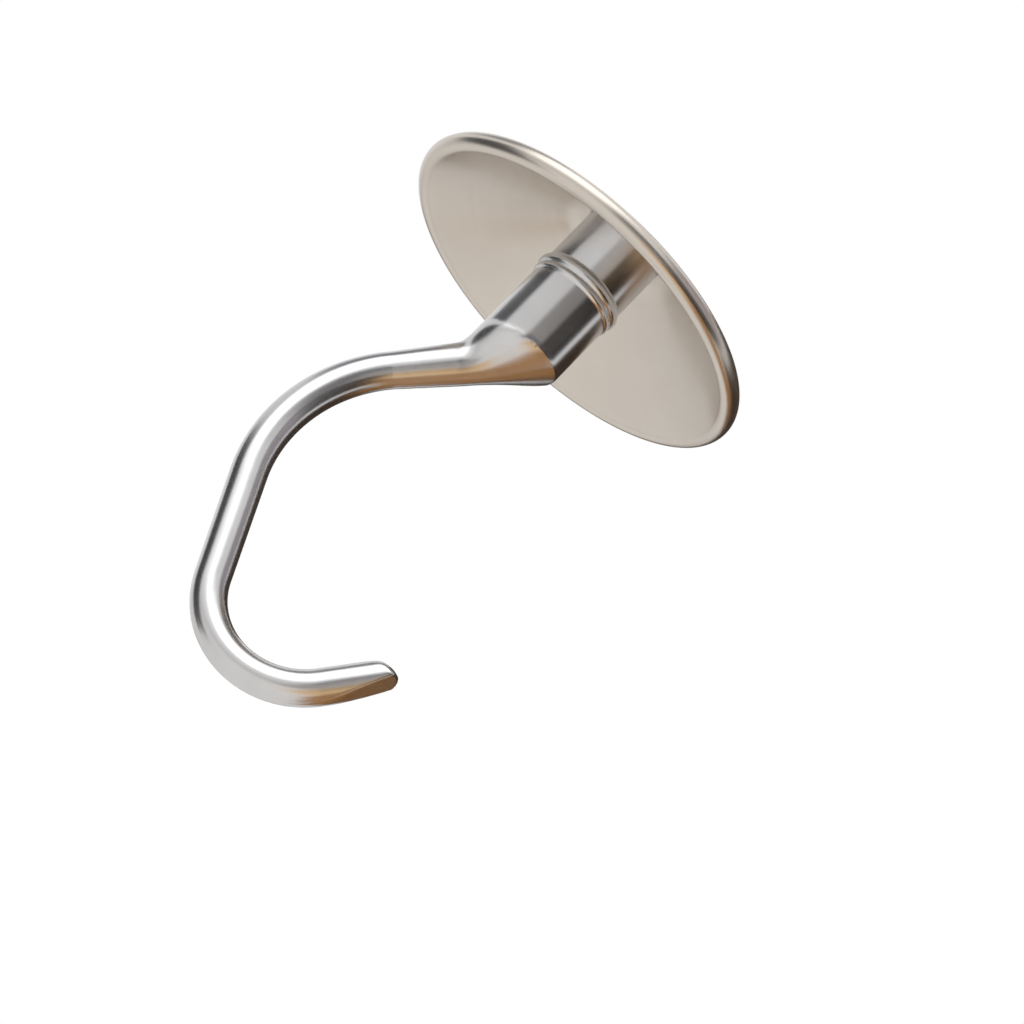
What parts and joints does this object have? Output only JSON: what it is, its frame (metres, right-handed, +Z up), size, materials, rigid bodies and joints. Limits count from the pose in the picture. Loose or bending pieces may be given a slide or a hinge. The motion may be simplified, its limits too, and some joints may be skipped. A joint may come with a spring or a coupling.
{
  "type": "stand mixer dough hook",
  "caption": "C-shaped steel dough hook with a socketed drive hub and a dished guard disc above the arm, for a planetary stand mixer.",
  "frame": {"origin": "centre of the drive socket's mouth, at the top of the hub", "axes": "+Z up along the hub, out of the socket; the hook lies in the XZ plane with its belly to -X and its tip at +X"},
  "size_m": [0.089, 0.089, 0.1375],
  "materials": {
    "polished_steel": "polished cast stainless steel",
    "satin_steel": "satin pressed stainless steel sheet"
  },
  "bodies": {
    "root": {"hook": "polished_steel", "guard": "satin_steel"}
  },
  "joints": []
}
